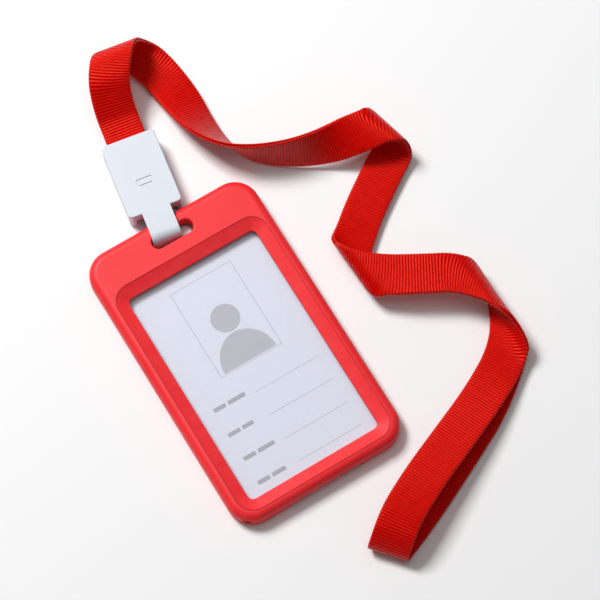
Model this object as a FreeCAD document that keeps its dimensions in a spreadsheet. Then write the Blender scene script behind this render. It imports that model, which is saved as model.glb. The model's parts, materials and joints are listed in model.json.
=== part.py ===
import FreeCAD, Part
import math
import os
import re
import Sketcher

# Lanyard badge holder: a sliding-cover card case hung on a plastic hook buckle, on a doubled
# woven neck strap.  Millimetres, +Z out of the front face, +Y towards the buckle.  The origin is
# on the back face, under the middle of the window.

os.makedirs("parts", exist_ok=True)
doc = FreeCAD.newDocument("lanyard_badge_holder")

# ---------------------------------------------------------------- driving dimensions
sheet = doc.addObject("Spreadsheet::Sheet", "Dimensions")
DIMENSIONS = [
    # how far cuts run past a face, and how much a rounded end falls short of a half circle
    ("overrun", 5.0), ("short_of_half", 0.01),
    # card case
    ("window_wide", 50.0), ("window_long", 81.5), ("window_round", 2.2),
    ("case_wide", 65.0), ("case_long", 108.0), ("case_round", 9.0), ("case_top", 59.9),
    ("case_thick", 7.0), ("band_wide", 4.2), ("band_drop", 2.0), ("edge_round", 2.9),
    ("groove_wide", 0.2), ("groove_deep", 0.25),
    ("slot_wide", 15.6), ("slot_tall", 5.0), ("slot_at", 52.8), ("slot_round", 0.6),
    ("cover_top", 45.5), ("cover_thick", 2.2), ("cover_gap", 0.2),
    ("recess_wide", 28.0), ("pane_wide", 54.0), ("pane_long", 85.4), ("pane_thick", 0.8),
    ("pane_floor", 2.75), ("pane_gap", 0.2),
    ("card_wide", 54.0), ("card_long", 85.6), ("card_round", 3.2), ("card_thick", 0.8),
    ("card_gap", 0.1), ("tray_gap", 0.3), ("notch_wide", 26.6), ("notch_deep", 3.4),
    ("rail_at", 29.2), ("rail_neck", 0.8), ("rail_head", 2.0), ("rail_low", 3.6),
    ("rail_high", 4.3), ("rail_top", 39.0), ("rail_gap", 0.3),
    ("grip_wide", 18.0), ("grip_tall", 1.0), ("grip_deep", 0.35), ("grip_pitch", 2.2),
    # hook buckle, measured from the hook's place in the slot
    ("buckle_wide", 19.2), ("buckle_low", 10.0), ("buckle_long", 28.0), ("buckle_thick", 9.0),
    ("buckle_split", 4.4), ("buckle_round", 1.4), ("buckle_wall", 1.4), ("buckle_edge", 0.4),
    ("mouth_wide", 15.2), ("mouth_tall", 2.6),
    ("tongue_wide", 10.1), ("tongue_thick", 1.5), ("tongue_out", 1.2), ("tongue_tip", 2.3),
    ("tongue_bend", 3.4), ("mark_wide", 5.6), ("mark_tall", 2.6), ("mark_deep", 0.3),
    ("mark_at", 21.0), ("mark_line", 0.4), ("mark_round", 0.5),
    ("pin_at", 13.6), ("pin_high", 2.6), ("pin_thick", 2.0), ("pin_long", 17.0),
    ("bore_gap", 0.1), ("bore_wall", 1.0), ("bay_wide", 14.6), ("bay_long", 6.6),
    ("lever_wide", 14.0), ("leaf_low", 0.3), ("leaf_thick", 1.0), ("barrel_thick", 4.2),
    ("tab_wide", 18.0), ("tab_low", -0.8), ("tab_tall", 3.8), ("tab_thick", 1.8),
    ("coil_wide", 3.6), ("coil_wire", 0.5), ("coil_gap", 0.4), ("leg_long", 3.4),
    ("clamp_wide", 14.0), ("clamp_low", 24.0),
    ("clamp_long", 10.0), ("clamp_thick", 1.7), ("clamp_gap", 0.1), ("tooth_pitch", 2.0), ("tooth_deep", 0.7),
    # neck strap
    ("strap_wide", 14.2), ("strap_thick", 0.9), ("strap_gap", 0.3),
]
GRIP_LINES = 5
COIL_LAP = 0.96  # pitch of the spring's turns over its wire, so that they join into one solid
TINY = 1e-6

for row, (alias, value) in enumerate(DIMENSIONS, start=1):
    sheet.set(f"A{row}", alias)
    sheet.set(f"B{row}", str(value))
    sheet.setAlias(f"B{row}", alias)
doc.recompute()


def bound(expression):
    """The expression with each alias written as a cell of the sheet."""
    return re.sub(r"[a-z]\w+", r"<<Dimensions>>.\g<0>", expression)


def size(expression):
    """The value of an expression in the sheet's aliases, such as 'case_wide / 2'."""
    return float(sheet.evalExpression(bound(expression)))


# ---------------------------------------------------------------- sketch helpers
def new_body(name):
    body = doc.addObject("PartDesign::Body", name)
    body.Label = name
    return body


def new_sketch(body, name, plane="XY_Plane", height="0"):
    sketch = body.newObject("Sketcher::SketchObject", name)
    origin_plane = [item for item in body.Origin.OriginFeatures if item.Role == plane][0]
    sketch.AttachmentSupport = [(origin_plane, "")]
    sketch.MapMode = "FlatFace"
    sketch.setExpression("AttachmentOffset.Base.z", bound(height))
    return sketch


def drive(sketch, kind, geometry, expression):
    """One dimension of a sketch, bound to the sheet; a negative one is taken the other way."""
    value = size(expression)
    if abs(value) < TINY:
        axis = -2 if kind == "DistanceX" else -1
        sketch.addConstraint(Sketcher.Constraint("PointOnObject", *geometry[2:], axis))
        return
    if value < 0:
        geometry = geometry[2:] + geometry[:2]
        expression = f"-({expression})"
    number = sketch.addConstraint(Sketcher.Constraint(kind, *geometry, abs(value)))
    sketch.setExpression(f"Constraints[{number}]", bound(expression))


def polygon(sketch, corners):
    """A closed outline of straight edges; each corner is a pair of expressions."""
    points = [FreeCAD.Vector(size(across), size(along), 0) for across, along in corners]
    count = len(points)
    for i in range(count):
        sketch.addGeometry(Part.LineSegment(points[i], points[(i + 1) % count]))
    for i in range(count):
        sketch.addConstraint(Sketcher.Constraint("Coincident", i, 2, (i + 1) % count, 1))
    for i, (across, along) in enumerate(corners):
        drive(sketch, "DistanceX", (-1, 1, i, 1), across)
        drive(sketch, "DistanceY", (-1, 1, i, 1), along)


def rectangle(sketch, left, right, low, high):
    polygon(sketch, [(left, low), (right, low), (right, high), (left, high)])


def rounded(sketch, wide, high, low, radius):
    """A rectangle centred on the sketch's upright axis, with round corners."""
    start = sketch.GeometryCount
    right, top, bottom, r = size(wide) / 2, size(high), size(low), size(radius)
    centres = [(right - r, bottom + r), (right - r, top - r), (r - right, top - r), (r - right, bottom + r)]
    for i, (x, y) in enumerate(centres):
        middle = FreeCAD.Vector(x, y, 0)
        begin, end = math.radians(90 * i - 90), math.radians(90 * i)
        circle = Part.Circle(middle, FreeCAD.Vector(0, 0, 1), r)
        sketch.addGeometry(Part.ArcOfCircle(circle, begin, end))
    for i in range(4):
        first = sketch.getPoint(start + i, 2)
        second = sketch.getPoint(start + (i + 1) % 4, 1)
        sketch.addGeometry(Part.LineSegment(first, second))
    for i in range(4):
        sketch.addConstraint(Sketcher.Constraint("Tangent", start + i, 2, start + 4 + i, 1))
        sketch.addConstraint(Sketcher.Constraint("Tangent", start + 4 + i, 2, start + (i + 1) % 4, 1))
    for i, direction in ((0, "Vertical"), (2, "Vertical"), (3, "Horizontal")):
        sketch.addConstraint(Sketcher.Constraint(direction, start + 4 + i))
    for i in range(1, 4):
        sketch.addConstraint(Sketcher.Constraint("Equal", start, start + i))
    number = sketch.addConstraint(Sketcher.Constraint("Radius", start, r))
    sketch.setExpression(f"Constraints[{number}]", bound(radius))
    sketch.addConstraint(Sketcher.Constraint("Symmetric", start + 5, 1, start + 5, 2, -2))
    drive(sketch, "DistanceY", (-1, 1, start + 5, 1), high)
    drive(sketch, "DistanceY", (-1, 1, start + 7, 1), low)
    number = sketch.addConstraint(Sketcher.Constraint("DistanceX", start + 6, 1, start + 4, 1, 2 * right))
    sketch.setExpression(f"Constraints[{number}]", bound(wide))


def circle(sketch, across, along, radius):
    place = FreeCAD.Vector(size(across), size(along), 0)
    sketch.addGeometry(Part.Circle(place, FreeCAD.Vector(0, 0, 1), size(radius)))
    number = sketch.addConstraint(Sketcher.Constraint("Radius", 0, size(radius)))
    sketch.setExpression(f"Constraints[{number}]", bound(radius))
    drive(sketch, "DistanceX", (-1, 1, 0, 3), across)
    drive(sketch, "DistanceY", (-1, 1, 0, 3), along)


def pad(body, sketch, length, middle=False):
    before = volume(body)
    feature = body.newObject("PartDesign::Pad", sketch.Name + "_pad")
    feature.Profile = sketch
    feature.SideType = "Symmetric" if middle else "One side"
    feature.setExpression("Length", bound(length))
    sketch.Visibility = False
    doc.recompute()
    if volume(body) <= before:
        raise RuntimeError(f"{feature.Name} adds nothing")
    return feature


def pocket(body, sketch, depth=None, upward=False, middle=False):
    before = volume(body)
    feature = body.newObject("PartDesign::Pocket", sketch.Name + "_pocket")
    feature.Profile = sketch
    feature.SideType = "Symmetric" if middle else "One side"
    feature.Reversed = upward
    if depth is None:
        feature.Type = "ThroughAll"
    else:
        feature.setExpression("Length", bound(depth))
    doc.recompute()
    if volume(body) >= before - TINY:
        raise RuntimeError(f"{feature.Name} cuts nothing")
    return feature


def volume(body):
    return 0.0 if body.Shape.isNull() else body.Shape.Volume


def edges_in(body, low, high):
    """Names of the edges that lie wholly inside the box from low to high."""
    names = []
    for i, edge in enumerate(body.Shape.Edges, start=1):
        box = edge.BoundBox
        least = (box.XMin, box.YMin, box.ZMin)
        most = (box.XMax, box.YMax, box.ZMax)
        if all(least[k] >= low[k] - 1e-3 and most[k] <= high[k] + 1e-3 for k in range(3)):
            names.append(f"Edge{i}")
    return names


def dress(body, kind, name, edges, **sizes):
    base = body.Tip
    feature = body.newObject(f"PartDesign::{kind}", name)
    feature.Base = (base, edges)
    for key, expression in sizes.items():
        if key == "ChamferType":
            feature.ChamferType = expression
        else:
            feature.setExpression(key, bound(expression))
    doc.recompute()
    if "Invalid" in feature.State:
        raise RuntimeError(f"{name} failed on {edges}")
    return feature



# ---------------------------------------------------------------- card case
def make_front_frame():
    body = new_body("front_frame")
    outline = new_sketch(body, "frame_outline")
    rounded(outline, "case_wide", "case_top", "case_top - case_long", "case_round")
    pad(body, outline, "case_thick")

    cover_room = new_sketch(body, "frame_cover_room")
    rectangle(cover_room, "-case_wide", "case_wide", "case_top - case_long - overrun", "cover_top")
    pocket(body, cover_room, "cover_thick + cover_gap", upward=True)

    hook_room = new_sketch(body, "frame_hook_room")
    rectangle(hook_room, "-recess_wide / 2", "recess_wide / 2", "cover_top - cover_gap", "case_top + overrun")
    pocket(body, hook_room, "cover_thick + cover_gap", upward=True)

    top = size("case_thick")
    wide, long = size("case_wide"), size("case_top")
    rim = edges_in(body, (-wide, -long, top), (wide, long, top))
    dress(body, "Fillet", "frame_pillow", rim, Radius="edge_round")

    window = new_sketch(body, "frame_window")
    rounded(window, "window_wide", "window_long / 2", "-window_long / 2", "window_round")
    pocket(body, window, upward=True)

    half_wide, half_long = size("window_wide / 2"), size("window_long / 2")
    lip = edges_in(body, (-half_wide, -half_long, top), (half_wide, half_long, top))
    dress(body, "Chamfer", "frame_band", lip, ChamferType="Two distances",
          Size="band_wide", Size2="band_drop")

    groove = new_sketch(body, "frame_groove", height="case_thick")
    rounded(groove, "window_wide + 2 * band_wide + 2 * groove_wide",
            "window_long / 2 + band_wide + groove_wide",
            "-window_long / 2 - band_wide - groove_wide", "window_round + band_wide + groove_wide")
    rounded(groove, "window_wide + 2 * band_wide", "window_long / 2 + band_wide",
            "-window_long / 2 - band_wide", "window_round + band_wide")
    pocket(body, groove, "groove_deep")

    pane_seat = new_sketch(body, "frame_pane_seat")
    rounded(pane_seat, "pane_wide + 2 * pane_gap", "pane_long / 2 + pane_gap", "-pane_long / 2 - pane_gap",
            "window_round")
    pocket(body, pane_seat, "pane_floor + pane_thick", upward=True)

    slot = new_sketch(body, "frame_slot")
    rounded(slot, "slot_wide", "slot_at + slot_tall / 2", "slot_at - slot_tall / 2",
            "slot_tall / 2 - short_of_half")
    pocket(body, slot, upward=True)
    reach = size("slot_wide / 2")
    low, high = size("slot_at - slot_tall / 2"), size("slot_at + slot_tall / 2")
    mouth = edges_in(body, (-reach, low, top), (reach, high, top))
    dress(body, "Fillet", "frame_slot_edge", mouth, Radius="slot_round")

    for side, sign in (("left", "-"), ("right", "")):
        neck = new_sketch(body, f"frame_rail_neck_{side}")
        rectangle(neck, f"{sign}rail_at - rail_neck / 2 - rail_gap",
                  f"{sign}rail_at + rail_neck / 2 + rail_gap",
                  "case_top - case_long - overrun", "rail_top + rail_gap")
        pocket(body, neck, "rail_high + rail_gap", upward=True)
        head = new_sketch(body, f"frame_rail_head_{side}", height="rail_low - cover_gap")
        rectangle(head, f"{sign}rail_at - rail_head / 2 - rail_gap",
                  f"{sign}rail_at + rail_head / 2 + rail_gap",
                  "case_top - case_long - overrun", "rail_top + rail_gap")
        pocket(body, head, "rail_high - rail_low + 2 * cover_gap", upward=True)
    return body


def make_front_window():
    body = new_body("front_window")
    outline = new_sketch(body, "pane_outline", height="pane_floor")
    rounded(outline, "pane_wide", "pane_long / 2", "-pane_long / 2", "window_round")
    pad(body, outline, "pane_thick")
    return body


def make_id_card():
    body = new_body("id_card")
    outline = new_sketch(body, "card_outline", height="cover_thick - card_thick - card_gap")
    rounded(outline, "card_wide", "card_long / 2", "-card_long / 2", "card_round")
    pad(body, outline, "card_thick")
    return body


def make_rear_cover():
    body = new_body("rear_cover")
    outline = new_sketch(body, "cover_outline")
    rounded(outline, "case_wide", "case_top", "case_top - case_long", "case_round")
    pad(body, outline, "cover_thick")

    wide, long, thick = size("case_wide"), size("case_top"), size("cover_thick")
    lower_rim = edges_in(body, (-wide, -long, 0), (wide, long, 0))
    dress(body, "Fillet", "cover_lower_rim", lower_rim, Radius="cover_thick / 3")

    above = new_sketch(body, "cover_end")
    rectangle(above, "-case_wide", "case_wide", "cover_top - cover_gap", "case_top + overrun")
    pocket(body, above, upward=True)

    tray = new_sketch(body, "cover_tray", height="cover_thick")
    rounded(tray, "card_wide + 2 * tray_gap", "card_long / 2 + tray_gap", "-card_long / 2 - tray_gap",
            "card_round")
    pocket(body, tray, "card_thick + card_gap")

    notch = new_sketch(body, "cover_notch")
    rectangle(notch, "-notch_wide / 2", "notch_wide / 2", "case_top - case_long - overrun",
              "case_top - case_long + notch_deep")
    pocket(body, notch, upward=True)
    low = size("case_top - case_long + notch_deep")
    corner = size("notch_wide / 2")
    corners = [name for side in (-corner, corner)
               for name in edges_in(body, (side, low, 0), (side, low, thick))]
    dress(body, "Fillet", "cover_notch_round", corners, Radius="notch_deep / 2")

    for i in range(GRIP_LINES):
        low = f"{i} * grip_pitch - card_long / 2"
        groove = new_sketch(body, f"cover_grip_{i}")
        rectangle(groove, "-grip_wide / 2", "grip_wide / 2", low, f"{low} + grip_tall")
        pocket(body, groove, "grip_deep", upward=True)

    for side, sign in (("left", "-"), ("right", "")):
        neck = new_sketch(body, f"cover_rail_neck_{side}", height="cover_thick")
        rectangle(neck, f"{sign}rail_at - rail_neck / 2", f"{sign}rail_at + rail_neck / 2",
                  "-window_long / 2", "rail_top")
        pad(body, neck, "rail_high - cover_thick")
        head = new_sketch(body, f"cover_rail_head_{side}", height="rail_low")
        rectangle(head, f"{sign}rail_at - rail_head / 2", f"{sign}rail_at + rail_head / 2",
                  "-window_long / 2", "rail_top")
        pad(body, head, "rail_high - rail_low")
    return body


# ---------------------------------------------------------------- hook buckle
# Its own frame has the hook at the origin and the strap's mouth along +Y.
def buckle_block(body, name, low, high):
    outline = new_sketch(body, name, height=low)
    rounded(outline, "buckle_wide", "buckle_low + buckle_long", "buckle_low", "buckle_round")
    pad(body, outline, f"{high} - {low}")


def make_buckle_front():
    body = new_body("buckle_front")
    buckle_block(body, "front_block", "buckle_split", "buckle_thick")
    wide, far, top = size("buckle_wide"), size("buckle_low + buckle_long"), size("buckle_thick")
    rim = edges_in(body, (-wide, 0, top), (wide, far, top))
    dress(body, "Fillet", "front_rim", rim, Radius="buckle_edge")

    tongue = new_sketch(body, "front_tongue", plane="YZ_Plane")
    polygon(tongue, [
        ("buckle_low + buckle_wall", "buckle_thick"), ("-tongue_out", "buckle_thick"),
        ("-tongue_out", "tongue_tip"), ("tongue_thick - tongue_out", "tongue_tip"),
        ("tongue_thick - tongue_out", "buckle_thick - tongue_thick"),
        ("buckle_low + buckle_wall", "buckle_thick - tongue_thick"),
    ])
    pad(body, tongue, "tongue_wide", middle=True)
    half, out, inner = size("tongue_wide / 2"), size("-tongue_out"), size("tongue_thick - tongue_out")
    under = size("buckle_thick - tongue_thick")
    outer_bend = edges_in(body, (-half, out, top), (half, out, top))
    dress(body, "Fillet", "tongue_outer_bend", outer_bend, Radius="tongue_bend")
    inner_bend = edges_in(body, (-half, inner, under), (half, inner, under))
    dress(body, "Fillet", "tongue_inner_bend", inner_bend, Radius="tongue_bend - tongue_thick")

    hollow = new_sketch(body, "front_hollow", height="buckle_split")
    rectangle(hollow, "-buckle_wide / 2 + buckle_wall", "buckle_wide / 2 - buckle_wall",
              "buckle_low + buckle_wall", "buckle_low + buckle_long - buckle_wall")
    pocket(body, hollow, "buckle_thick - buckle_wall - buckle_split", upward=True)

    mouth = new_sketch(body, "front_mouth", height="buckle_split")
    rectangle(mouth, "-mouth_wide / 2", "mouth_wide / 2", "buckle_low + buckle_long / 2",
              "buckle_low + buckle_long + overrun")
    pocket(body, mouth, "mouth_tall / 2", upward=True)

    mark = new_sketch(body, "front_mark", height="buckle_thick")
    rounded(mark, "mark_wide", "mark_at + mark_tall / 2",
            "mark_at - mark_tall / 2", "mark_round")
    pocket(body, mark, "mark_deep")
    plate = new_sketch(body, "front_mark_plate", height="buckle_thick - mark_deep")
    rounded(plate, "mark_wide - 2 * mark_line",
            "mark_at + mark_tall / 2 - mark_line",
            "mark_at - mark_tall / 2 + mark_line", "mark_round - mark_line / 2")
    pad(body, plate, "mark_deep")
    return body


def make_buckle_rear():
    body = new_body("buckle_rear")
    buckle_block(body, "rear_block", "0", "buckle_split")
    wide, far = size("buckle_wide"), size("buckle_low + buckle_long")
    rim = edges_in(body, (-wide, 0, 0), (wide, far, 0))
    dress(body, "Fillet", "rear_rim", rim, Radius="buckle_edge")

    bay = new_sketch(body, "rear_lever_bay")
    rectangle(bay, "-bay_wide / 2", "bay_wide / 2", "buckle_low - overrun", "buckle_low + bay_long")
    pocket(body, bay, upward=True)

    hollow = new_sketch(body, "rear_hollow", height="buckle_split")
    rectangle(hollow, "-buckle_wide / 2 + buckle_wall", "buckle_wide / 2 - buckle_wall",
              "buckle_low + bay_long + buckle_wall", "buckle_low + buckle_long - buckle_wall")
    pocket(body, hollow, "buckle_split - buckle_wall")

    mouth = new_sketch(body, "rear_mouth", height="buckle_split")
    rectangle(mouth, "-mouth_wide / 2", "mouth_wide / 2", "buckle_low + buckle_long / 2",
              "buckle_low + buckle_long + overrun")
    pocket(body, mouth, "mouth_tall / 2")

    bed = new_sketch(body, "rear_strap_bed", height="buckle_wall")
    rectangle(bed, "-clamp_wide / 2", "clamp_wide / 2", "clamp_low", "clamp_low + clamp_long")
    pad(body, bed, "buckle_split - mouth_tall / 2 - buckle_wall")

    bore = new_sketch(body, "rear_pin_bore", plane="YZ_Plane")
    circle(bore, "pin_at", "pin_high", "pin_thick / 2 + bore_gap / 2")
    pocket(body, bore, "buckle_wide - 2 * bore_wall", middle=True)
    return body


def make_gate_lever():
    body = new_body("gate_lever")
    barrel = new_sketch(body, "lever_barrel", plane="YZ_Plane")
    circle(barrel, "pin_at", "pin_high", "barrel_thick / 2")
    pad(body, barrel, "lever_wide", middle=True)

    leaf = new_sketch(body, "lever_leaf", height="leaf_low")
    rectangle(leaf, "-lever_wide / 2", "lever_wide / 2", "tab_low + tab_tall / 2", "pin_at - bore_gap")
    pad(body, leaf, "leaf_thick")

    tab = new_sketch(body, "lever_tab", height="leaf_low")
    rounded(tab, "tab_wide", "tab_low + tab_tall", "tab_low", "tab_tall / 2 - short_of_half")
    pad(body, tab, "tab_thick")

    coil_room = new_sketch(body, "lever_coil_room", plane="YZ_Plane")
    rectangle(coil_room, "pin_at - barrel_thick / 2 - coil_gap", "pin_at + barrel_thick / 2 + coil_gap",
              "leaf_low + leaf_thick / 2", "pin_high + barrel_thick")
    pocket(body, coil_room, "coil_wide + coil_gap", middle=True)

    bore = new_sketch(body, "lever_bore", plane="YZ_Plane")
    circle(bore, "pin_at", "pin_high", "pin_thick / 2 + bore_gap")
    pocket(body, bore, "lever_wide + overrun", middle=True)
    return body


def make_gate_pin():
    pin = doc.addObject("Part::Cylinder", "gate_pin")
    pin.setExpression("Radius", bound("pin_thick / 2"))
    pin.setExpression("Height", bound("pin_long"))
    return pin


def make_gate_spring():
    """A torsion spring: close turns round the pin, and one leg that lies on the leaf."""
    wire, wide = size("coil_wire"), size("coil_wide")
    inner = size("pin_thick / 2 + bore_gap")
    turns = int(wide / wire)
    coil = None
    for i in range(turns):
        across = (i - (turns - 1) / 2) * wire * COIL_LAP
        ring = Part.makeTorus(inner + wire / 2, wire / 2, FreeCAD.Vector(across, 0, 0),
                              FreeCAD.Vector(1, 0, 0))
        coil = ring if coil is None else coil.fuse(ring)
    drop = size("pin_high - leaf_low - leaf_thick") - wire / 2
    side = math.sqrt((inner + wire / 2) ** 2 - drop ** 2)
    start = FreeCAD.Vector(0, -side, -drop)
    leg = Part.makeCylinder(wire / 2, size("leg_long"), start, FreeCAD.Vector(0, -1, 0))
    spring = doc.addObject("Part::Feature", "gate_spring")
    spring.Shape = coil.fuse(leg).removeSplitter()
    return spring


def make_strap_clamp():
    body = new_body("strap_clamp")
    profile = new_sketch(body, "clamp_profile", plane="YZ_Plane")
    teeth = int(size("clamp_long / tooth_pitch"))
    foot = "buckle_thick - buckle_wall - clamp_gap - clamp_thick"
    corners = [("clamp_low", "buckle_thick - buckle_wall - clamp_gap"), ("clamp_low", foot + " + tooth_deep")]
    for i in range(teeth):
        corners.append((f"clamp_low + {i + 0.5} * tooth_pitch", foot))
        corners.append((f"clamp_low + {i + 1} * tooth_pitch", foot + " + tooth_deep"))
    corners.append(("clamp_low + clamp_long", "buckle_thick - buckle_wall - clamp_gap"))
    polygon(profile, corners)
    pad(body, profile, "clamp_wide", middle=True)
    return body


# ---------------------------------------------------------------- neck strap
# One flat ribbon, laid double from the buckle to a U-turn at its far end.  Each row is a point
# of the route and the straight direction that the ribbon has there, from one edge to the other.
STRAP_SHARED = [
    (2.1, 78.5, 4.4, 0.99, -0.16, 0),
    (4.9, 95.7, 4.4, 0.99, -0.16, 0),
    (6.2, 104, 9.5, 0.98, -0.2, 0.02),
    (9, 111, 15, 0.95, -0.28, 0.08),
    (16.5, 120.2, 16, 0.93, -0.3, 0.25),
    (22.3, 119, 3.2, 0.97, -0.06, 0.25),
    (26.5, 109.5, 2.2, 0.99, 0.03, 0),
    (28, 96.5, 2.6, 0.97, 0, -0.15),
    (28.2, 83, 5.8, 0.75, 0.1, -0.6),
    (31.2, 71.5, 7.8, 0.4, 0.15, -0.9),
    (37.8, 63, 8.2, 0.05, -0.05, -1),
    (49.5, 56.4, 8, -0.1, -0.3, -0.95),
    (61.5, 52.5, 8, -0.1, -0.65, -0.75),
    (72, 50.2, 11, 0.1, -0.95, -0.2),
    (82.6, 48.4, 12.6, 0.22, -0.97, 0.1),
    (84.2, 43, 2.1, 0.26, -0.96, 0.06),
    (72.5, 35.5, 1.9, 0.3, -0.95, 0),
    (59.3, 26.3, 1.9, 0.15, -0.99, 0),
    (46.6, 15, 2.2, 0.07, -1, -0.06),
    (46.4, 8.6, 7.8, 0.05, -1, -0.1),
    (54.8, 1.6, 9.2, 0, -1, 0),
    (65, -4.4, 9.8, -0.2, -0.98, 0),
    (74.5, -9.6, 10, -0.3, -0.95, 0.05),
    (82, -19, 10.5, -0.12, -0.93, 0.35),
    (82.2, -32.5, 3.6, 0.1, -0.93, 0.33),
    (74.5, -42, 2.6, 0.35, -0.93, 0),
]
STRAP_LOWER = [
    (59.7, -53.3, 1.8, 0.6, -0.8, 0),
    (43.7, -61.3, 1.8, 0.62, -0.77, 0),
    (28.2, -68.8, 1.8, 0.62, -0.77, 0),
    (17.5, -73.6, 1.8, 0.64, -0.76, 0),
    (9.6, -76.7, 1.8, 0.65, -0.76, 0),
]
STRAP_TURN = [
    (5, -78.8, 2, 0.65, -0.76, 0),
    (5, -78.7, 5.6, 0.65, -0.76, 0),
    (9, -75.6, 9.6, 0.65, -0.76, 0),
]
STRAP_UPPER = [
    (13, -72.6, 10.9, 0.65, -0.76, 0),
    (17.5, -69.8, 11.2, 0.63, -0.77, 0),
    (28.5, -64.2, 10, 0.62, -0.77, 0.05),
    (43.8, -57.5, 7.8, 0.62, -0.77, 0.05),
    (59.7, -50.4, 5, 0.6, -0.78, 0.1),
]
ARC_SHARE = 0.45
ARC_STEP = 18  # degrees


def as_vector(row, first=0):
    return FreeCAD.Vector(*row[first:first + 3])


def strap_stations(rows):
    """Straight runs joined by tangent arcs, as (place, heading, straight direction) along them."""
    points = [as_vector(row) for row in rows]
    across = [as_vector(row, 3).normalize() for row in rows]
    runs = [points[i + 1] - points[i] for i in range(len(points) - 1)]
    stations = [(points[0], FreeCAD.Vector(runs[0]).normalize(), across[0])]
    length, radii = 0.0, []
    previous_end = points[0]
    for i in range(1, len(points) - 1):
        before, after = FreeCAD.Vector(runs[i - 1]).normalize(), FreeCAD.Vector(runs[i]).normalize()
        turn = before.getAngle(after)
        reach = ARC_SHARE * min(runs[i - 1].Length, runs[i].Length)
        radius = reach / math.tan(turn / 2)
        radii.append(round(radius, 1))
        start, end = points[i] - before * reach, points[i] + after * reach
        start_share = reach / runs[i - 1].Length
        end_share = reach / runs[i].Length
        across_start = across[i] * (1 - start_share) + across[i - 1] * start_share
        across_end = across[i] * (1 - end_share) + across[i + 1] * end_share
        length += (start - previous_end).Length + radius * turn
        previous_end = end
        axis = before.cross(after).normalize()
        centre = start + axis.cross(before) * radius
        steps = max(1, math.ceil(math.degrees(turn) / ARC_STEP))
        for k in range(steps + 1):
            share = k / steps
            swing = FreeCAD.Rotation(axis, math.degrees(turn) * share)
            place = centre + swing.multVec(start - centre)
            blend = (across_start * (1 - share) ** 2 + across[i] * (2 * share * (1 - share))
                     + across_end * share ** 2)
            stations.append((place, swing.multVec(before), blend))
    length += (points[-1] - previous_end).Length
    stations.append((points[-1], FreeCAD.Vector(runs[-1]).normalize(), across[-1]))
    return stations, length, radii


def strap_corners(station, wide, thick, offset):
    """The four corners of the ribbon at a station, along the straight direction that it has there."""
    place, heading, ruling = station
    square = ruling - heading * ruling.dot(heading)
    reach = ruling * (wide / 2 / square.Length)
    outward = square.cross(heading).normalize()
    middle = place + outward * offset
    return [middle + reach * a + outward * (b * thick / 2)
            for a, b in ((-1, -1), (-1, 1), (1, 1), (1, -1))]


def make_neck_strap():
    wide, thick = size("strap_wide"), size("strap_thick")
    offset = size("strap_thick / 2 + strap_gap / 2")
    rows = STRAP_SHARED + STRAP_LOWER + STRAP_TURN + STRAP_UPPER + STRAP_SHARED[::-1]
    stations, length, radii = strap_stations(rows)
    sections = [strap_corners(station, wide, thick, offset) for station in stations]
    outlines = [sections[0], sections[-1]]
    for here, there in zip(sections, sections[1:]):
        for i in range(4):
            j = (i + 1) % 4
            # both broad faces are split from edge A here to edge B there, so they stay parallel
            if i == 3:
                outlines += [[here[i], here[j], there[i]], [here[j], there[j], there[i]]]
            else:
                outlines += [[here[i], here[j], there[j]], [here[i], there[j], there[i]]]
    skin = Part.Compound([Part.Face(Part.makePolygon(ends + ends[:1])) for ends in outlines])
    skin.sewShape(1e-4)
    solid = Part.Solid(skin.Shells[0])
    if solid.Volume < 0:
        solid.reverse()
    strap = doc.addObject("Part::Feature", "neck_strap")
    strap.Shape = solid
    ratio = strap.Shape.Volume / (wide * thick * length)
    print(f"neck_strap length {length:.1f} mm, volume over section times length {ratio:.3f}")
    print(f"neck_strap sections {len(sections)}, lowest {strap.Shape.BoundBox.ZMin:.2f}, radii {radii}")
    return strap


# ---------------------------------------------------------------- assembly
# The hook stands a little left of the slot's middle, and the buckle leans to the right.
hook_place = FreeCAD.Placement(FreeCAD.Vector(-2.1, size("slot_at"), 0),
                               FreeCAD.Rotation(FreeCAD.Vector(0, 0, 1), -9.3))
case_parts = [make_front_frame(), make_front_window(), make_id_card(), make_rear_cover()]
buckle_parts = [make_buckle_front(), make_buckle_rear(), make_gate_lever(), make_strap_clamp()]
for part in buckle_parts:
    part.Placement = hook_place

pin_centre = FreeCAD.Vector(0, size("pin_at"), size("pin_high"))
pin_start = pin_centre - FreeCAD.Vector(size("pin_long / 2"), 0, 0)
lie_across = FreeCAD.Rotation(FreeCAD.Vector(0, 1, 0), 90)
gate_pin = make_gate_pin()
gate_pin.Placement = hook_place.multiply(FreeCAD.Placement(pin_start, lie_across))
gate_spring = make_gate_spring()
gate_spring.Placement = hook_place.multiply(FreeCAD.Placement(pin_centre, FreeCAD.Rotation()))
neck_strap = make_neck_strap()
doc.recompute()

sub_parts = case_parts + buckle_parts + [gate_pin, gate_spring, neck_strap]
for item in doc.Objects:
    if "Invalid" in item.State or "Error" in item.State:
        raise RuntimeError(f"{item.Name} failed: {item.State}")
for part in sub_parts:
    if part.Shape.isNull() or not part.Shape.isValid():
        raise RuntimeError(f"{part.Label} has no valid shape")
for part in sub_parts:
    part.Shape.exportStep(f"parts/{part.Label}.step")
    print(part.Label, len(part.Shape.Solids), "solid", round(part.Shape.Volume), "mm3")
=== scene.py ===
"""Looks of the lanyard badge holder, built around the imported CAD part. Metres, in the CAD's own frame."""

import json
import math

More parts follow.
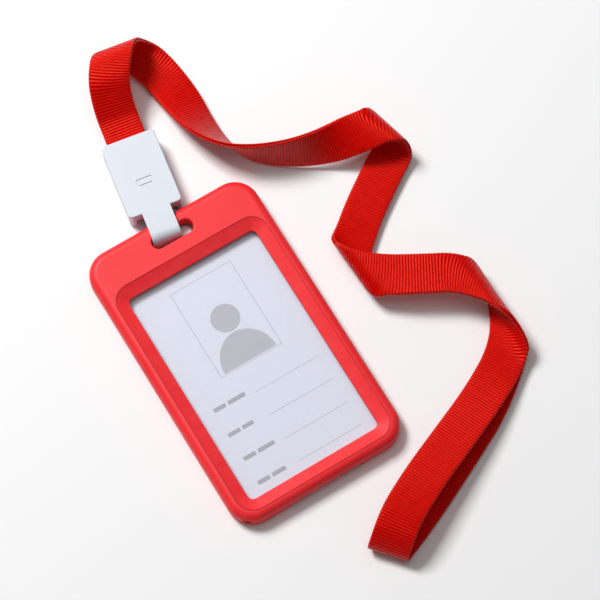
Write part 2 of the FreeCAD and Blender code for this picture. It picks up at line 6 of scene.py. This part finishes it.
import bmesh
import bpy
import numpy as np
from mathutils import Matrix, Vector


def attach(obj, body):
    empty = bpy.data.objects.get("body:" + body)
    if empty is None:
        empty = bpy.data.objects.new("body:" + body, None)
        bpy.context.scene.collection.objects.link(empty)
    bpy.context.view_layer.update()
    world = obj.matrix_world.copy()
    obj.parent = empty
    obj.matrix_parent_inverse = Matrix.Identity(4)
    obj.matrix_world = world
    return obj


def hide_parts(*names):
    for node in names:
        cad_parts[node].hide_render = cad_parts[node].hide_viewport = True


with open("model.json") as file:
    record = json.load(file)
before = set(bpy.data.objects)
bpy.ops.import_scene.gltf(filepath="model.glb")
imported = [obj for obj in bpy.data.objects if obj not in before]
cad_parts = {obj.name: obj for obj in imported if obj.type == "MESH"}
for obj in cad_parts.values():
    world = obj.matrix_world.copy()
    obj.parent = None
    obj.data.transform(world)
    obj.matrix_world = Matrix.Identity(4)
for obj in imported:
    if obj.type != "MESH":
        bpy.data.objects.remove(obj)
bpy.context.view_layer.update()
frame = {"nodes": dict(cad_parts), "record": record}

MM = 0.001
PER_MM = 1000.0

# ---------------------------------------------------------------- camera
TARGET = Vector((26.0, 12.0, 0.0)) * MM
DISTANCE = 0.966
AZIMUTH, ELEVATION = math.radians(-31.2), math.radians(72.1)
FOCAL_MM, SENSOR_MM = 170.6, 36
CLIP_NEAR, CLIP_FAR = 0.01, 20

camera = bpy.data.objects.new("camera", bpy.data.cameras.new("camera"))
back = Vector((math.sin(AZIMUTH) * math.cos(ELEVATION),
               -math.cos(AZIMUTH) * math.cos(ELEVATION),
               math.sin(ELEVATION)))
camera.location = TARGET + back * DISTANCE
camera.rotation_mode = "QUATERNION"
camera.rotation_quaternion = (-back).to_track_quat("-Z", "Y")
camera.data.lens = FOCAL_MM
camera.data.sensor_width = SENSOR_MM
camera.data.clip_start, camera.data.clip_end = CLIP_NEAR, CLIP_FAR
bpy.context.scene.collection.objects.link(camera)
bpy.context.scene.camera = camera


# ---------------------------------------------------------------- node helpers
class Shader:
    """A material's node tree, with short calls for the few nodes that the finishes share."""

    def __init__(self, name):
        self.material = bpy.data.materials.new(name)
        self.material.use_nodes = True
        self.tree = self.material.node_tree
        self.surface = self.tree.nodes["Principled BSDF"]

    def node(self, kind, **settings):
        made = self.tree.nodes.new(kind)
        for key, value in settings.items():
            setattr(made, key, value)
        return made

    def wire(self, source, target):
        """Links an output to an input."""
        self.tree.links.new(source, target)

    def feed(self, socket, value):
        """Links the value to a socket if it is an output, or sets it there if it is a number."""
        if isinstance(value, bpy.types.NodeSocket):
            self.wire(value, socket)
        else:
            socket.default_value = value

    def put(self, **values):
        """Sets plain numbers and colours on the shader's own sockets."""
        for key, value in values.items():
            self.surface.inputs[key.replace("_", " ")].default_value = value

    def math(self, operation, a, b=0.0, c=0.0):
        made = self.node("ShaderNodeMath", operation=operation)
        for socket, value in zip(made.inputs, (a, b, c)):
            self.feed(socket, value)
        return made.outputs[0]

    def place(self, output="Object"):
        return self.node("ShaderNodeTexCoord").outputs[output]

    def axes(self, vector):
        made = self.node("ShaderNodeSeparateXYZ")
        self.wire(vector, made.inputs[0])
        return made.outputs

    def stretch(self, vector, scale):
        made = self.node("ShaderNodeMapping")
        self.wire(vector, made.inputs["Vector"])
        made.inputs["Scale"].default_value = scale
        return made.outputs[0]

    def noise(self, vector, scale, detail=2.0, rough=0.5):
        made = self.node("ShaderNodeTexNoise")
        self.wire(vector, made.inputs["Vector"])
        made.inputs["Scale"].default_value = scale
        made.inputs["Detail"].default_value = detail
        made.inputs["Roughness"].default_value = rough
        return made.outputs["Fac"]

    def ramp(self, value, low, high, out_low=0.0, out_high=1.0):
        made = self.node("ShaderNodeMapRange")
        for key, given in (("Value", value), ("From Min", low), ("From Max", high),
                           ("To Min", out_low), ("To Max", out_high)):
            self.feed(made.inputs[key], given)
        return made.outputs[0]

    def mix(self, share, a, b):
        made = self.node("ShaderNodeMix", data_type="RGBA")
        for key, value in (("Factor_Float", share), ("A_Color", a), ("B_Color", b)):
            socket = next(s for s in made.inputs if s.identifier == key)
            self.feed(socket, value)
        return next(s for s in made.outputs if s.identifier == "Result_Color")

    def bump(self, height, strength, distance, normal=None):
        made = self.node("ShaderNodeBump")
        made.inputs["Strength"].default_value = strength
        made.inputs["Distance"].default_value = distance
        self.wire(height, made.inputs["Height"])
        if normal is not None:
            self.wire(normal, made.inputs["Normal"])
        return made.outputs[0]


def colour(red, green, blue):
    """A linear colour from the usual 0 to 255 display values."""
    return tuple((c / 255) ** 2.2 for c in (red, green, blue)) + (1.0,)


# Pointiness at which an edge begins to look rubbed, and at which it is fully so.
RUB_FROM, RUB_FULL = 0.52, 0.62
RUB_SHARE = 0.5
# How strongly the painted shade darkens the groove round the window's band.
GROOVE_SHADE_SHARE = 0.6


def worn(shader, base, edge, vector):
    """The base colour, lighter where a convex edge is rubbed, in uneven patches."""
    crest = shader.ramp(shader.node("ShaderNodeNewGeometry").outputs["Pointiness"], RUB_FROM, RUB_FULL)
    patches = shader.ramp(shader.noise(vector, 260.0, 4.0), 0.4, 0.7, 0.3, 1.0)
    share = shader.math("MULTIPLY", crest, shader.math("MULTIPLY", patches, RUB_SHARE))
    return shader.mix(share, base, edge)


# The groove round the case's band, in millimetres: half its width and length, its corner's radius, the width
# of its painted shade line, and the height above which it is cut.
BAND_HALF_WIDE, BAND_HALF_LONG, BAND_ROUND, BAND_LINE = 29.3, 45.05, 6.4, 0.2
BAND_LOW = 6.0


def groove_shade_line(shader, spot):
    """1 in the groove round the window's band: the mask of the painted shade that darkens the groove."""
    across, along, up = (shader.math("MULTIPLY", axis, PER_MM) for axis in shader.axes(spot))
    corner = [shader.math("SUBTRACT", shader.math("ABSOLUTE", axis), half - BAND_ROUND)
              for axis, half in ((across, BAND_HALF_WIDE), (along, BAND_HALF_LONG))]
    outside = [shader.math("MAXIMUM", past, 0.0) for past in corner]
    squares = [shader.math("MULTIPLY", past, past) for past in outside]
    inner = shader.math("MINIMUM", shader.math("MAXIMUM", *corner), 0.0)
    reach = shader.math("ADD", shader.math("SQRT", shader.math("ADD", *squares)), inner)
    distance = shader.math("ABSOLUTE", shader.math("SUBTRACT", reach, BAND_ROUND))
    line = shader.ramp(distance, BAND_LINE / 2, BAND_LINE, 1.0, 0.0)
    return shader.math("MULTIPLY", line, shader.math("GREATER_THAN", up, BAND_LOW))


def moulded(name, base, darker, edge, roughness, grain_scale, grain_strength, groove_shade=None):
    """Moulded plastic: a fine spark-eroded grain, faint flow mottling and slightly rubbed edges."""
    s = Shader(name)
    spot = s.place()
    mottle = s.ramp(s.noise(spot, 45.0, 3.0), 0.3, 0.7)
    tone = worn(s, s.mix(mottle, base, darker), edge, spot)
    # Painted shade: the groove round the window's band is painted darker, where shade falls in it.
    if groove_shade is not None:
        tone = s.mix(s.math("MULTIPLY", groove_shade_line(s, spot), GROOVE_SHADE_SHARE), tone, groove_shade)
    s.wire(tone, s.surface.inputs["Base Color"])
    fine = s.noise(spot, grain_scale, 3.0, 0.6)
    s.wire(s.ramp(fine, 0.25, 0.75, roughness - 0.05, roughness + 0.06), s.surface.inputs["Roughness"])
    s.wire(s.bump(fine, grain_strength, 0.00004), s.surface.inputs["Normal"])
    return s


# The last colour of case_red is painted shade, for the groove round the window's band.
case_red = moulded("case_red", colour(241, 50, 55), colour(236, 44, 49), colour(247, 84, 88),
                   0.46, 5200.0, 0.35, groove_shade=colour(150, 18, 24))
case_red.put(Specular_IOR_Level=0.3)
buckle_white = moulded("buckle_white", colour(212, 217, 226), colour(207, 212, 222), colour(226, 230, 238),
                       0.34, 7000.0, 0.15)
buckle_white.put(Specular_IOR_Level=0.5, Subsurface_Weight=0.08, Subsurface_Radius=(0.002, 0.002, 0.002))


def make_clear():
    """Clear PVC window: nearly invisible, with a faint gloss and hairline scuffs."""
    s = Shader("clear_window")
    spot = s.place()
    scuffs = s.noise(s.stretch(spot, (900.0, 60.0, 900.0)), 1.0, 4.0)
    s.wire(s.ramp(scuffs, 0.55, 0.75, 0.08, 0.2), s.surface.inputs["Roughness"])
    s.wire(s.bump(s.noise(spot, 30.0, 1.0), 0.05, 0.0002), s.surface.inputs["Normal"])
    s.put(Base_Color=(1.0, 1.0, 1.0, 1.0), Alpha=0.08, IOR=1.45)
    s.material.surface_render_method = "BLENDED"
    return s


def make_steel():
    """Drawn spring wire: bright, with faint lines round it."""
    s = Shader("spring_steel")
    spot = s.place()
    lines = s.noise(s.stretch(spot, (9000.0, 1500.0, 1500.0)), 1.0, 2.0)
    s.wire(s.mix(lines, colour(150, 152, 158), colour(196, 198, 204)), s.surface.inputs["Base Color"])
    s.wire(s.ramp(lines, 0.2, 0.8, 0.2, 0.38), s.surface.inputs["Roughness"])
    s.put(Metallic=1.0)
    return s


# ---------------------------------------------------------------- the card's printed form
# In millimetres from the window's middle.
CARD_STOCK, CARD_PALE = colour(206, 211, 228), colour(211, 216, 232)
PRINT_GREY, LINE_GREY, LABEL_GREY = colour(160, 163, 172), colour(140, 143, 153), colour(120, 122, 132)
PHOTO_BOX = (-11.1, 1.5, 12.5, 35.7)  # left, low, right, high
HEAD = (0.7, 19.0, 5.1)  # centre and radius
SHOULDERS = (0.6, 2.0, 10.1, 11.3)  # centre of the flat base, half width and height
RULES = [(-4.0, 20.9, y) for y in (-8.6, -17.9, -27.5, -36.5)]  # left, right, height
LABELS = [(-19.3, -7.2, -7.2), (-19.5, -9.8, -17.0), (-19.2, -7.4, -26.6), (-19.4, -8.7, -36.1)]
LABEL_FIRST, LABEL_GAP, LABEL_HIGH = 4.6, 0.9, 1.5
HAIRLINE = 0.16
INK_EDGE = 0.05


def make_card():
    """Card stock with a plain printed form: a portrait outline, and four rows of a short bar and a rule."""
    s = Shader("card_print")
    spot = s.place()
    across, along, _ = s.axes(spot)
    x = s.math("MULTIPLY", across, PER_MM)
    y = s.math("MULTIPLY", along, PER_MM)

    def inside(distance):
        """1 where a signed distance in millimetres is negative, with a soft ink edge."""
        return s.ramp(distance, -INK_EDGE, INK_EDGE, 1.0, 0.0)

    def box(x0, y0, x1, y1):
        dx = s.math("SUBTRACT", s.math("ABSOLUTE", s.math("SUBTRACT", x, (x0 + x1) / 2)), (x1 - x0) / 2)
        dy = s.math("SUBTRACT", s.math("ABSOLUTE", s.math("SUBTRACT", y, (y0 + y1) / 2)), (y1 - y0) / 2)
        return s.math("MAXIMUM", dx, dy)

    def oval(cx, cy, rx, ry):
        dx = s.math("DIVIDE", s.math("SUBTRACT", x, cx), rx)
        dy = s.math("DIVIDE", s.math("SUBTRACT", y, cy), ry)
        size = s.math("SQRT", s.math("ADD", s.math("MULTIPLY", dx, dx), s.math("MULTIPLY", dy, dy)))
        return s.math("MULTIPLY", s.math("SUBTRACT", size, 1.0), (rx + ry) / 2)

    def either(first, *others):
        for other in others:
            first = s.math("MINIMUM", first, other)
        return first

    outline = s.math("SUBTRACT", s.math("ABSOLUTE", box(*PHOTO_BOX)), HAIRLINE / 2)
    rules = [box(x0, low - HAIRLINE / 2, x1, low + HAIRLINE / 2) for x0, x1, low in RULES]
    head_x, head_y, head_r = HEAD
    body_x, body_y, body_wide, body_high = SHOULDERS
    below = s.math("SUBTRACT", body_y, y)
    figure = either(oval(head_x, head_y, head_r, head_r),
                    s.math("MAXIMUM", oval(body_x, body_y, body_wide, body_high), below))
    bars = []
    for x0, x1, middle in LABELS:
        split = x0 + LABEL_FIRST
        bars.append(box(x0, middle - LABEL_HIGH / 2, split, middle + LABEL_HIGH / 2))
        bars.append(box(split + LABEL_GAP, middle - LABEL_HIGH / 2, x1, middle + LABEL_HIGH / 2))

    paper = s.mix(s.ramp(s.noise(spot, 900.0, 4.0), 0.3, 0.7), CARD_STOCK, CARD_PALE)
    mottle = s.ramp(s.noise(spot, 6000.0, 2.0), 0.3, 0.7, 0.86, 1.0)
    inked = s.mix(s.math("MULTIPLY", inside(figure), mottle), paper, PRINT_GREY)
    inked = s.mix(inside(either(*rules, outline)), inked, LINE_GREY)
    inked = s.mix(s.math("MULTIPLY", inside(either(*bars)), 0.8), inked, LABEL_GREY)
    s.wire(inked, s.surface.inputs["Base Color"])
    fibre = s.noise(spot, 4000.0, 3.0)
    s.wire(s.ramp(fibre, 0.3, 0.7, 0.5, 0.6), s.surface.inputs["Roughness"])
    s.wire(s.bump(fibre, 0.1, 0.00003), s.surface.inputs["Normal"])
    return s


# ---------------------------------------------------------------- the ribbon
# In millimetres. LAYER is how far each layer's middle lies from the middle of the doubled ribbon.
RIBBON_WIDE, RIBBON_THICK, LAYER = 14.2, 0.8, 0.43
RIB_PITCH, RIB_HIGH, STEPS_PER_RIB = 1.0, 0.1, 6
PICOT_PITCH, PICOT_DEEP = 1.0, 0.16
THREAD_PITCH = 0.24
SELVAGE_FROM, SELVAGE_FULL = 6.3, 6.7
SOLVE_STEPS, SOLVE_SHARE = 40, 0.5

# Each row is a point on the middle of the doubled ribbon, in millimetres, and the straight direction that the
# ribbon has there, from one edge to the other.
SHARED = [
    (2.1, 78.5, 4.4, 0.99, -0.16, 0),
    (4.9, 95.7, 4.4, 0.99, -0.16, 0),
    (6.2, 104, 9.5, 0.98, -0.2, 0.02),
    (9, 111, 15, 0.95, -0.28, 0.08),
    (16.5, 120.2, 16, 0.93, -0.3, 0.25),
    (22.3, 119, 3.2, 0.97, -0.06, 0.25),
    (26.5, 109.5, 2.2, 0.99, 0.03, 0),
    (28, 96.5, 2.6, 0.97, 0, -0.15),
    (28.2, 83, 5.8, 0.75, 0.1, -0.6),
    (31.2, 71.5, 7.8, 0.4, 0.15, -0.9),
    (37.8, 63, 8.2, 0.05, -0.05, -1),
    (49.5, 56.4, 8, -0.1, -0.3, -0.95),
    (61.5, 52.5, 8, -0.1, -0.65, -0.75),
    (72, 50.2, 11, 0.1, -0.95, -0.2),
    (82.6, 48.4, 12.6, 0.22, -0.97, 0.1),
    (84.2, 43, 2.1, 0.26, -0.96, 0.06),
    (72.5, 35.5, 1.9, 0.3, -0.95, 0),
    (59.3, 26.3, 1.9, 0.15, -0.99, 0),
    (46.6, 15, 2.2, 0.07, -1, -0.06),
    (46.4, 8.6, 7.8, 0.05, -1, -0.1),
    (54.8, 1.6, 9.2, 0, -1, 0),
    (65, -4.4, 9.8, -0.2, -0.98, 0),
    (74.5, -9.6, 10, -0.3, -0.95, 0.05),
    (82, -19, 10.5, -0.12, -0.93, 0.35),
    (82.2, -32.5, 3.6, 0.1, -0.93, 0.33),
    (74.5, -42, 2.6, 0.35, -0.93, 0),
]
LOWER = [
    (59.7, -53.3, 1.8, 0.6, -0.8, 0),
    (43.7, -61.3, 1.8, 0.62, -0.77, 0),
    (28.2, -68.8, 1.8, 0.62, -0.77, 0),
    (17.5, -73.6, 1.8, 0.64, -0.76, 0),
    (9.6, -76.7, 1.8, 0.65, -0.76, 0),
]
TURN = [
    (5, -78.8, 2, 0.65, -0.76, 0),
    (5, -78.7, 5.6, 0.65, -0.76, 0),
    (9, -75.6, 9.6, 0.65, -0.76, 0),
]
UPPER = [
    (13, -72.6, 10.9, 0.65, -0.76, 0),
    (17.5, -69.8, 11.2, 0.63, -0.77, 0),
    (28.5, -64.2, 10, 0.62, -0.77, 0.05),
    (43.8, -57.5, 7.8, 0.62, -0.77, 0.05),
    (59.7, -50.4, 5, 0.6, -0.78, 0.1),
]
ROUTE = SHARED + LOWER + TURN + UPPER + SHARED[::-1]


def route_line(points, resolution=64):
    """Points along the smooth NURBS line that has these points as its control points."""
    data = bpy.data.curves.new("route", "CURVE")
    data.dimensions = "3D"
    data.resolution_u = resolution
    spline = data.splines.new("NURBS")
    spline.points.add(len(points) - 1)
    for made, point in zip(spline.points, points):
        made.co = (*point, 1.0)
    spline.order_u = 3
    spline.use_endpoint_u = True
    holder = bpy.data.objects.new("route", data)
    bpy.context.scene.collection.objects.link(holder)
    bpy.context.view_layer.update()
    mesh = bpy.data.meshes.new_from_object(holder)
    line = [v.co.copy() for v in mesh.vertices]
    bpy.data.meshes.remove(mesh)
    bpy.data.objects.remove(holder)
    bpy.data.curves.remove(data)
    return line


def unit(vectors):
    """The same directions, each one long."""
    return vectors / np.linalg.norm(vectors, axis=-1, keepdims=True)


class Lay:
    """The ribbon's lie: a smooth middle line, and the straight direction that the cloth has at each point."""

    def __init__(self, rows):
        middle = [Vector(row[:3]) for row in rows]
        self.centre = np.array(route_line(middle))
        aside = np.array(route_line([m + Vector(row[3:]).normalized() for m, row in zip(middle, rows)]))
        self.along = np.concatenate([[0.0], np.cumsum(np.linalg.norm(np.diff(self.centre, axis=0), axis=1))])
        heading = unit(np.gradient(self.centre, self.along, axis=0))
        self.ruling = unit(aside - self.centre)
        lean = np.sum(self.ruling * heading, axis=1)
        self.square = np.sqrt(1 - lean ** 2)
        self.skew = lean / self.square
        self.outward = unit(np.cross(self.ruling, heading))

    def at(self, values, place):
        if values.ndim == 1:
            return np.interp(place, self.along, values)
        return np.stack([np.interp(place, self.along, column) for column in values.T], axis=-1)

    def surface(self, along, across, high):
        """Where a point of the flat ribbon lies, high above its middle layer."""
        place = np.array(along)
        for _ in range(SOLVE_STEPS):
            wanted = along - across * self.at(self.skew, place)
            place = place + SOLVE_SHARE * (wanted - place)
        reach = (across / self.at(self.square, place))[..., None]
        return self.at(self.centre, place) + self.at(self.ruling, place) * reach + (
            self.at(self.outward, place) * high[..., None])


# One face of the ribbon, from edge to edge: place across, share of half the thickness, and share of the ribs.
SECTION = [(-7.1, 0.0, 0.0), (-6.85, 0.75, 0.3), (-6.3, 1.0, 1.0), (-4.2, 1.0, 1.0), (-2.1, 1.0, 1.0),
           (0.0, 1.0, 1.0), (2.1, 1.0, 1.0), (4.2, 1.0, 1.0), (6.3, 1.0, 1.0), (6.85, 0.75, 0.3),
           (7.1, 0.0, 0.0)]


def ribbon(name, lay, start, end):
    """A woven grosgrain ribbon: ribs across it, and small picot loops along both edges."""
    loop = np.array(SECTION + [(a, -b, r) for a, b, r in SECTION[-2:0:-1]])
    steps = round(abs(end - start) / RIB_PITCH * STEPS_PER_RIB)
    along = np.linspace(start, end, steps + 1)[:, None] + np.zeros(len(loop))
    side, face, ribbed = loop.T
    rib = 0.5 - 0.5 * np.cos(2 * math.pi * along / RIB_PITCH)
    at_edge = np.isclose(np.abs(side), RIBBON_WIDE / 2)
    picot = PICOT_DEEP * (0.5 - 0.5 * np.cos(2 * math.pi * along / PICOT_PITCH)) * at_edge
    across = side - picot * np.sign(side)
    high = LAYER + RIBBON_THICK / 2 * face - RIB_HIGH * rib * ribbed * np.sign(face)
    points = lay.surface(along, across, high).reshape(-1, 3) * MM
    ring = len(loop)
    faces = [(i * ring + j, i * ring + (j + 1) % ring, (i + 1) * ring + (j + 1) % ring, (i + 1) * ring + j)
             for i in range(steps) for j in range(ring)]
    faces.append(tuple(range(ring))[::-1])
    faces.append(tuple(range(len(points) - ring, len(points))))
    mesh = bpy.data.meshes.new(name)
    mesh.from_pydata(points.tolist(), [], faces)
    weave = np.stack([along, across, np.zeros_like(along)], axis=-1)
    mesh.attributes.new("weave", "FLOAT_VECTOR", "POINT").data.foreach_set("vector", weave.ravel())
    clean = bmesh.new()
    clean.from_mesh(mesh)
    bmesh.ops.recalc_face_normals(clean, faces=clean.faces)
    clean.to_mesh(mesh)
    clean.free()
    mesh.shade_smooth()
    made = bpy.data.objects.new(name, mesh)
    bpy.context.scene.collection.objects.link(made)
    return made


SHINE_RED = (1.0, 0.1, 0.06, 1.0)


def make_weave():
    """Woven polyester: fine lengthwise threads over crosswise ribs, with a satin shine, and painted shade in
    the valleys between the ribs.
    """
    s = Shader("ribbon_red")
    attribute = s.node("ShaderNodeAttribute", attribute_name="weave")
    along, across, _ = s.axes(attribute.outputs["Vector"])
    turn = s.math("MULTIPLY", along, 2 * math.pi / RIB_PITCH)
    rib = s.math("MULTIPLY_ADD", s.math("COSINE", turn), 0.5, 0.5)
    spot = s.place()
    uneven = s.ramp(s.noise(spot, 420.0, 3.0), 0.3, 0.7)
    body = s.mix(uneven, colour(206, 12, 7), colour(222, 16, 10))
    # Painted shade: the valleys between the ribs are painted darker, where shade falls between them.
    valley_painted_shade = s.math("MULTIPLY", s.math("SUBTRACT", 1.0, rib), 0.5)
    shade = s.mix(valley_painted_shade, body, colour(130, 2, 2))
    edge = s.ramp(s.math("ABSOLUTE", across), SELVAGE_FROM, SELVAGE_FULL)
    dots = s.ramp(s.math("COSINE", s.math("MULTIPLY", along, 2 * math.pi / PICOT_PITCH)), -0.2, 0.3)
    shade = s.mix(s.math("MULTIPLY", edge, s.math("MULTIPLY", dots, 0.6)), shade, colour(228, 50, 42))
    s.wire(shade, s.surface.inputs["Base Color"])
    thread_turn = s.math("MULTIPLY", across, 2 * math.pi / THREAD_PITCH)
    threads = s.math("MULTIPLY_ADD", s.math("SINE", thread_turn), 0.5, 0.5)
    high = s.math("ADD", rib, s.math("MULTIPLY", threads, 0.35))
    s.wire(s.bump(high, 0.5, 0.0001), s.surface.inputs["Normal"])
    s.wire(s.ramp(threads, 0.0, 1.0, 0.38, 0.3), s.surface.inputs["Roughness"])
    s.put(Sheen_Weight=0.04, Sheen_Roughness=0.3, Sheen_Tint=SHINE_RED,
          Specular_IOR_Level=0.8, Specular_Tint=SHINE_RED)
    return s


ribbon_red = make_weave()
lay = Lay(ROUTE)
fold = lay.along[np.argmin(np.linalg.norm(lay.centre - np.array(TURN[0][:3]), axis=1))]
for name, start, end in (("strap_under_run", 0.0, fold), ("strap_upper_run", lay.along[-1], fold)):
    piece = ribbon(name, lay, start, end)
    piece.data.materials.append(ribbon_red.material)
    places = np.linspace(start, end, round(abs(end - start) / RIB_PITCH) + 1)
    line = lay.surface(places, np.zeros_like(places), np.full_like(places, LAYER)) * MM
    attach(piece, "buckle")
    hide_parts("neck_strap")

# ---------------------------------------------------------------- finishes of the CAD nodes
FINISHES = {
    "case_red": case_red,
    "clear_window": make_clear(),
    "card_print": make_card(),
    "buckle_white": buckle_white,
    "spring_steel": make_steel(),
}
for part in frame["record"]["subparts"]:
    finish = FINISHES.get(part["material_slot"])
    if finish is None:
        continue
    mesh = frame["nodes"][part["node"]].data
    if not mesh.materials:
        mesh.materials.append(None)
    for i in range(len(mesh.materials)):
        mesh.materials[i] = finish.material

# ---------------------------------------------------------------- floor and light
FLOOR_HALF, FLOOR_DROP = 1.5, 0.0001
WORLD_LIGHT = 0.15
LIGHTS = [
    # name, place, side of the square in metres, watts
    ("key_light", (-0.2, 0.75, 1.0), 0.4, 15.6),
    ("top_light", (0.2, 0.2, 1.5), 1.0, 3.4),
]


def make_floor():
    """A plain pale floor, just under the object."""
    mesh = bpy.data.meshes.new("floor")
    corners = [(x * FLOOR_HALF, y * FLOOR_HALF, -FLOOR_DROP) for x, y in ((-1, -1), (1, -1), (1, 1), (-1, 1))]
    mesh.from_pydata(corners, [], [(0, 1, 2, 3)])
    s = Shader("floor_pale")
    s.put(Base_Color=(0.9, 0.9, 0.9, 1.0), Roughness=0.9, Specular_IOR_Level=0.2)
    mesh.materials.append(s.material)
    made = bpy.data.objects.new("floor", mesh)
    bpy.context.scene.collection.objects.link(made)
    return made


def softbox(name, place, side, power):
    """A square light that faces the object."""
    light = bpy.data.lights.new(name, "AREA")
    light.shape = "SQUARE"
    light.size = side
    light.energy = power
    made = bpy.data.objects.new(name, light)
    made.location = Vector(place)
    made.rotation_mode = "QUATERNION"
    made.rotation_quaternion = (TARGET - made.location).to_track_quat("-Z", "Y")
    bpy.context.scene.collection.objects.link(made)


make_floor()
for name, place, side, power in LIGHTS:
    softbox(name, place, side, power)
world = bpy.data.worlds.new("studio")
world.use_nodes = True
background = world.node_tree.nodes["Background"]
background.inputs["Color"].default_value = (1.0, 1.0, 1.0, 1.0)
background.inputs["Strength"].default_value = WORLD_LIGHT
bpy.context.scene.world = world
bpy.context.scene.view_settings.view_transform = "Standard"
